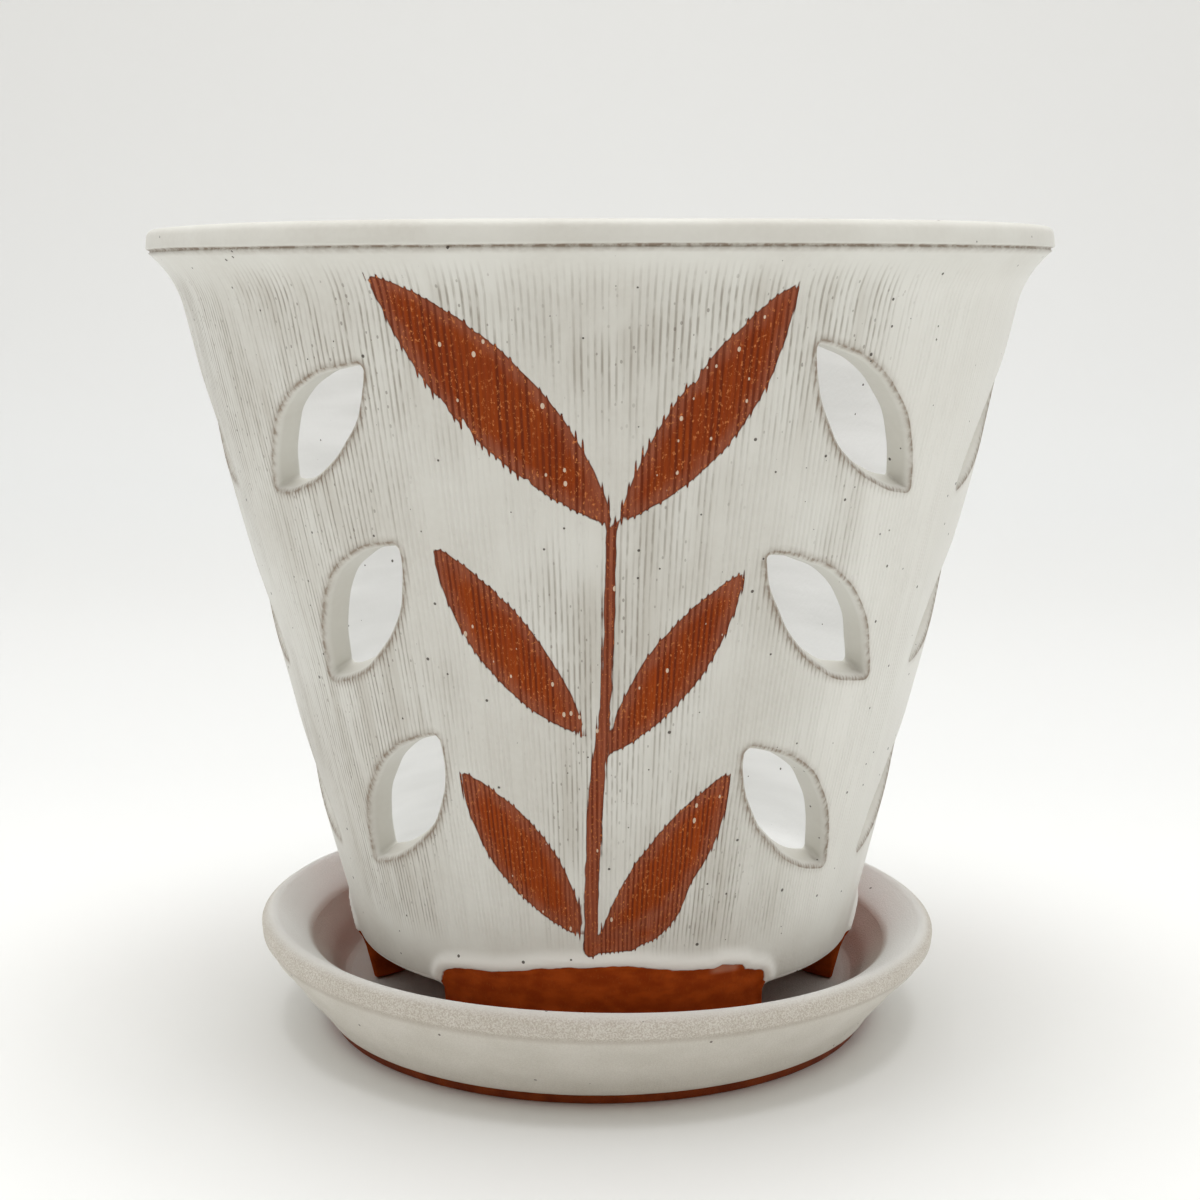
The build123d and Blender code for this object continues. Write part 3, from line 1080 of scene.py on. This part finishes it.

    # Its colour: lighter low on the wall as painted light, bright patches, dull edges, a painted shade
    # along the edges under the raised glaze, streaks, furrows, flecks and drops
    furrow = g.product(g.step(comb, -0.3, 0.9), g.step(g.noise(tall(0.06), 0.7), 0.26, 0.6))
    sown = g.step(g.noise(drum, 0.15), 0.35, 0.6, 0.5, 1.0)
    fleck = g.product(g.step(g.noise(tall(0.6), 2.6, 3, 0.7), 0.58, 0.655), sown)
    clay = g.coats(
        g.mix(g.step(z, 110, 50), *CLAY_WITH_PAINTED_LIGHT_LOW),
        (CLAY_BRIGHT, g.step(g.noise(drum, 0.16), 0.35, 0.7), 0.35),
        (CLAY_DULL, g.step(g.line(g.noise(drum, 0.3), 2.4, cut), -1.6, 0.8), 0.6),
        (CLAY_STREAKS, g.step(g.noise(tall(0.08), 2.2), 0.36, 0.64), 0.3),
        (CLAY_FURROWS, furrow, 0.8),
        (CLAY_EDGE_SHADE, g.step(cut, -0.3, -0.05), 0.5),
        (CLAY_FLECKS, fleck, 0.9),
        (CLAY_DROPS, g.specks(tall(0.6), 1.4, 0.3, 0.26), 0.9),
    )

    # Bare feet: smoother clay, lighter than the sprigs' clay as painted light against the feet's shade,
    # with a pinkish smear on the nub
    foot_cut = g.math("ADD", foot, g.line(g.noise(drum, 0.35), 0.9, -0.45))
    footed = g.step(foot_cut, 0.12, -0.12)
    on_nub = (g.step(turn, 0.43, 0.47), g.step(turn, 0.57, 0.54), g.step(z, 19.6, 20.6))
    foot_clay_with_painted_light = g.coats(
        g.mix(g.step(g.noise(tall(2.2), 0.2, 3), 0.3, 0.75), *FOOT_CLAY_WITH_PAINTED_LIGHT),
        (FOOT_FLECKS, fleck, 0.25),
        (FOOT_SMEAR, *on_nub, 0.6),
    )

    colour = g.mix(footed, g.mix(bare, glaze, clay), foot_clay_with_painted_light)
    dry = g.math("MAXIMUM", bare, footed)
    fine = g.product(g.noise(place, 1.1, 3), 0.05)
    ridges = g.product(comb, g.line(bare, 0.05, 0.045), g.math("MAXIMUM", lines, bare), on_wall)
    height = g.line(dry, -0.22, g.math("SUBTRACT", fine, ridges))
    height = g.line(pits, -0.15, height)
    dress(g, shader, colour, g.line(dry, 0.25, 0.42), height)
    return material


def saucer_material():
    """Thin, grainy glaze on the saucer, pinker in the well, over a bare red base."""
    material, g, shader = new_material("saucer_glaze", SAUCER_GLOSS)
    place = g.millimetres()
    run = g.fact("glaze")

    def stretch_of(start, full, fading, end):
        """1 on a stretch of the profile, in millimetres from where the glaze starts."""
        return g.product(g.step(run, start, full), g.step(run, end, fading))

    grain = g.step(g.noise(place, 3.2, 2, 0.7), 0.34, 0.66)
    sand = g.step(g.noise(place, 3.6, 2, 0.7), 0.40, 0.62)
    glaze = g.coats(
        g.mix(g.step(g.noise(place, 0.12, 3), 0.3, 0.7), *SAUCER_GLAZE),
        (SAUCER_GRAIN, grain, 0.45),
        (SAUCER_SAND, sand, 0.16),
        (LIP_SAND, stretch_of(16.6, 17.8, 20.6, 22.8), sand, 0.52),
        # painted shade in the crease under the lip
        (LIP_CREASE_SHADE, stretch_of(16.0, 16.9, 17.3, 18.4), 0.3),
        # whiter glaze on the lip's top, partly painted light against the pot's shadow
        (LIP_TOP_WHITE_AND_PAINTED_LIGHT, stretch_of(20.5, 23.5, 29.5, 32.0), 0.95),
        (WELL_PINK, stretch_of(29.5, 31.5, 39.5, 42.0), 0.55),
        (SEAT_GREY, g.step(run, 39.5, 42.5), 0.5),
        (SAUCER_PITS, g.specks(place, 2.2, 0.34, 0.1), 0.8),
    )

    uneven = g.line(g.noise(g.drum(place, SAUCER_DRUM), 0.25), 0.8, -0.4)
    bare = g.step(g.math("ADD", run, uneven), 0.12, -0.12)
    clay = g.mix(g.step(g.noise(place, 0.3, 3), 0.3, 0.7), *BASE_CLAY)
    height = g.line(grain, 0.04, g.product(g.noise(place, 0.7), 0.05))
    height = g.line(bare, -0.12, height)
    dress(g, shader, g.mix(bare, glaze, clay), g.line(grain, 0.1, 0.52), height)
    return material


def floor_material():
    """A pale table, darker from the pot backwards as painted shade, that turns into a lighter backdrop."""
    material, g, shader = new_material("floor", FLOOR_GLOSS)
    away = g.node("SeparateXYZ", g.node("TexCoord").outputs["Object"]).outputs["Y"]
    table = g.mix(g.step(away, 0.0, 0.2), *TABLE)
    g.put(shader.inputs["Base Color"], g.mix(g.step(away, 0.45, 1.1), table, BACKDROP))
    shader.inputs["Roughness"].default_value = FLOOR_ROUGHNESS
    return material


pot.data.materials.append(pot_material())
saucer.data.materials.append(saucer_material())
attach(pot, "pot")
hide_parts("pot")
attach(saucer, "saucer")
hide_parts("saucer")

# Floor and backdrop in one sweep, in metres

FLOOR_HALF = 3.5
FLOOR_NEAR = -3.0
SWEEP_START = 0.9
SWEEP_RADIUS = 0.5
BACKDROP_TOP = 2.4


def make_floor():
    """A table top that bends up into a backdrop."""
    bends = np.linspace(0, pi / 2, 24)[1:]
    sweep = [(FLOOR_NEAR, 0.0), (SWEEP_START, 0.0)]
    sweep += [(SWEEP_START + SWEEP_RADIUS * sin(a), SWEEP_RADIUS - SWEEP_RADIUS * cos(a)) for a in bends]
    sweep += [(SWEEP_START + SWEEP_RADIUS, BACKDROP_TOP)]
    mesh = bpy.data.meshes.new("floor")
    verts = [(x, y, z) for y, z in sweep for x in (-FLOOR_HALF, FLOOR_HALF)]
    faces = [(2 * i, 2 * i + 1, 2 * i + 3, 2 * i + 2) for i in range(len(sweep) - 1)]
    mesh.from_pydata(verts, [], faces)
    mesh.shade_smooth()
    mesh.materials.append(floor_material())
    return add_object("floor", mesh)


floor = make_floor()

# Light: a soft room, darker behind the camera, and one large lamp overhead

SKY_SIDE = (1.25, 1.26, 1.25)
SKY_FRONT_LOW = (0.97, 0.92, 0.84)
SKY_FRONT = (0.17, 0.13, 0.09)  # behind the camera
SKY_TOP = (0.95, 0.96, 0.96)
SKY_SEEN = ((0.66, 0.66, 0.65), (0.86, 0.86, 0.85))  # plain background, low and high
LAMP_HEIGHT = 1.2
LAMP_SIZE = 0.8
LAMP_POWER = 7.4


def light_room():
    """Light by direction, with a plain background where it is seen or mirrored."""
    world = bpy.data.worlds.new("studio")
    bpy.context.scene.world = world
    world.use_nodes = True
    g = Graph(world.node_tree)
    heading = g.node("SeparateXYZ", g.node("TexCoord").outputs["Generated"]).outputs
    room = g.mix(g.step(heading["Z"], 0.12, 0.4), SKY_FRONT_LOW, SKY_FRONT)
    tone = g.mix(g.step(heading["Y"], 0.0, -0.7), SKY_SIDE, room)
    tone = g.mix(g.step(heading["Z"], 0.6, 0.95), tone, SKY_TOP)
    rays = g.node("LightPath").outputs
    direct = g.math("MAXIMUM", rays["Is Camera Ray"], rays["Is Glossy Ray"])
    direct = g.math("MAXIMUM", direct, rays["Is Transmission Ray"])
    tone = g.mix(direct, tone, g.mix(g.step(heading["Z"], 0.0, 0.3), *SKY_SEEN))
    g.put(world.node_tree.nodes["Background"].inputs["Color"], tone)


light_room()
lamp = bpy.data.lights.new("overhead", "AREA")
lamp.shape = "DISK"
lamp.size = LAMP_SIZE
lamp.energy = LAMP_POWER
overhead = add_object("overhead", lamp)
overhead.location = (0.0, 0.0, LAMP_HEIGHT)

# Camera, at the photo's angle

CAMERA_TURN = 2.0
CAMERA_DISTANCE = 0.3728
CAMERA_HEIGHT = 0.136
CAMERA_PITCH = 8.99
CAMERA_LENS = 61.38  # millimetres, with a 36 mm sensor
camera = add_object("camera", bpy.data.cameras.new("camera"))
camera.data.sensor_width = 36
camera.data.lens = CAMERA_LENS
camera.data.clip_start = 0.01
camera.location = (
    CAMERA_DISTANCE * sin(radians(CAMERA_TURN)),
    -CAMERA_DISTANCE * cos(radians(CAMERA_TURN)),
    CAMERA_HEIGHT,
)
camera.rotation_euler = (radians(90 - CAMERA_PITCH), 0, radians(CAMERA_TURN))
bpy.context.scene.camera = camera
bpy.context.scene.view_settings.view_transform = "Standard"
